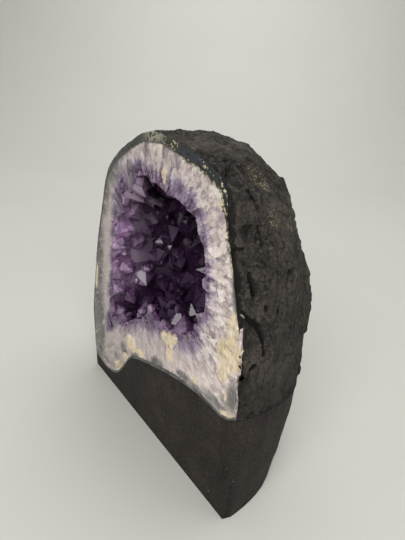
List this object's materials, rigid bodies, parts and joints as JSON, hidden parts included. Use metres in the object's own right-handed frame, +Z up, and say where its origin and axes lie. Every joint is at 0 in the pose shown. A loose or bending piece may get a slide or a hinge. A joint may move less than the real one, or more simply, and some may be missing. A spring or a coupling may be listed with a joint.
{
  "type": "amethyst geode",
  "caption": "Cut amethyst geode on a cast cement base: dark rock rind, pale quartz wall and an open hollow lined with purple crystals",
  "frame": {"origin": "on the flat underside of the cement base, below the middle of the arch and 65 mm behind the cut face", "axes": "+Z up; the cut face looks along -Y; +X to the right as seen from in front of the cut face"},
  "size_m": [0.2136, 0.1222, 0.2385],
  "materials": {
    "cement": "matte black paint on cast cement",
    "rind": "matte black paint on rough sandy rock",
    "quartz": "sawn and polished agate and quartz, pale lilac",
    "amethyst": "glossy translucent purple crystal"
  },
  "bodies": {
    "root": {"cement_base": "cement", "rock_rind": "rind", "quartz_wall": "quartz", "amethyst_crust": "amethyst"}
  },
  "joints": []
}
